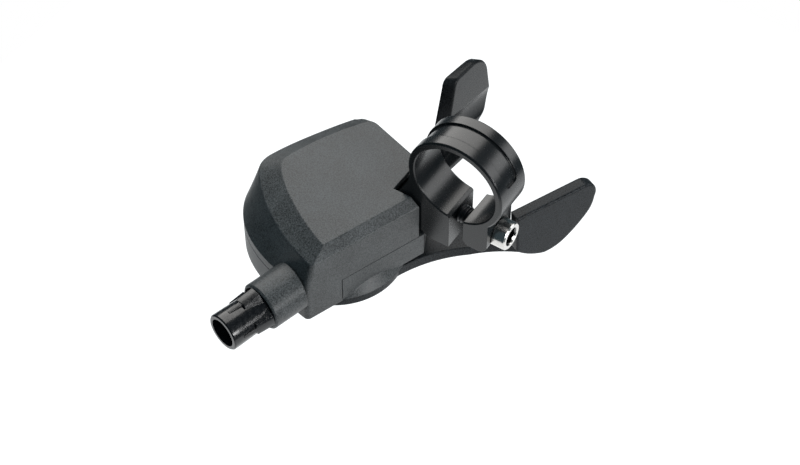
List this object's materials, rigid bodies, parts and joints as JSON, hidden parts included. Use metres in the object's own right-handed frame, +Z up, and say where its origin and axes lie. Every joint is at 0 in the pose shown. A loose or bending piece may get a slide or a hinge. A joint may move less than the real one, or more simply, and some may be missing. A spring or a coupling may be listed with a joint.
{
  "type": "trigger gear shifter",
  "caption": "Under-bar trigger gear shifter for a bicycle: split handlebar clamp, closed bevelled case, thumb lever, release trigger and finned barrel adjuster.",
  "frame": {"origin": "centre of the handlebar clamp's bore, at the middle of its width", "axes": "+X along the handlebar towards its right end, +Y forward, +Z up"},
  "size_m": [0.1032, 0.0736, 0.0492],
  "materials": {
    "clamp_alloy": "satin black anodised",
    "bolt_steel": "bright zinc plated",
    "case_plastic": "fine-textured dark grey",
    "lever_plastic": "satin dark grey",
    "lever_alloy": "satin black paint",
    "barrel_plastic": "gloss black",
    "plate_steel": "stamped, zinc plated",
    "pawl_steel": "hardened, ground",
    "spring_steel": "drawn wire",
    "drum_plastic": "natural acetal",
    "dark_screw": "black oxide"
  },
  "bodies": {
    "housing": {"handlebar_clamp": "clamp_alloy", "clamp_bolt": "bolt_steel", "upper_cover": "case_plastic", "lower_cover": "case_plastic", "cover_screws": "dark_screw", "base_plate": "plate_steel", "bracket_screws": "dark_screw", "main_axle": "plate_steel", "axle_washer": "plate_steel", "axle_nut": "dark_screw", "pawl_pins": "plate_steel", "hold_pawl_spring": "spring_steel", "stop_pawl_spring": "spring_steel", "drum_spring": "spring_steel", "thumb_spring": "spring_steel", "detent_spring": "spring_steel"},
    "thumb": {"thumb_lever": "lever_plastic", "pawl_carrier": "plate_steel", "wind_pawl_pin": "plate_steel", "wind_pawl_spring": "spring_steel"},
    "drum": {"cable_drum": "drum_plastic", "ratchet_wheel": "pawl_steel"},
    "winding_pawl": {"wind_pawl": "pawl_steel"},
    "holding_pawl": {"hold_pawl": "pawl_steel"},
    "stopping_pawl": {"stop_pawl": "pawl_steel"},
    "release": {"release_lever": "lever_alloy"},
    "barrel": {"barrel_adjuster": "barrel_plastic"}
  },
  "joints": [
    {"name": "thumb_swing", "type": "hinge", "parent": "housing", "child": "thumb", "pos_m": [-0.0135, 0.0295, -0.0242], "axis": [0, 0, 1], "range_deg": [0, 30], "stiffness_Nm_per_rad": 0.15, "springref_deg": -20.05, "deforming": ["thumb_spring"]},
    {"name": "drum_turn", "type": "hinge", "parent": "housing", "child": "drum", "pos_m": [-0.0135, 0.0295, -0.0242], "axis": [0, 0, 1], "range_deg": [0, 30], "deforming": ["drum_spring"]},
    {"name": "hold_pawl_lift", "type": "hinge", "parent": "housing", "child": "holding_pawl", "pos_m": [-0.01937, 0.04154, -0.0249], "axis": [0, 0, 1], "range_deg": [-15, 0], "deforming": ["hold_pawl_spring"]},
    {"name": "wind_pawl_lift", "type": "hinge", "parent": "thumb", "child": "winding_pawl", "pos_m": [-0.00146, 0.03537, -0.0249], "axis": [0, 0, 1], "range_deg": [-8, 0], "stiffness_Nm_per_rad": 0.01, "springref_deg": 17.19, "deforming": ["wind_pawl_spring"]},
    {"name": "release_pull", "type": "hinge", "parent": "housing", "child": "release", "pos_m": [-0.0135, 0.0295, -0.0242], "axis": [0, 0, 1], "range_deg": [-8, 0], "stiffness_Nm_per_rad": 0.3, "springref_deg": 11.46},
    {"name": "stop_pawl_swing", "type": "hinge", "parent": "housing", "child": "stopping_pawl", "pos_m": [-0.02687, 0.03044, -0.0249], "axis": [0, 0, 1], "range_deg": [0, 9], "deforming": ["stop_pawl_spring"]},
    {"name": "barrel_turn", "type": "hinge", "parent": "housing", "child": "barrel", "pos_m": [-0.05158, 0.03005, -0.0226], "axis": [-0.9681, 0.2504, 0], "continuous": true}
  ],
  "couplings": [
    {"joint": "drum_turn", "follows": "thumb_swing", "ratio": 1},
    {"joint": "hold_pawl_lift", "follows": "thumb_swing", "ratio": -0.5},
    {"joint": "stop_pawl_swing", "follows": "release_pull", "ratio": -1.125}
  ]
}
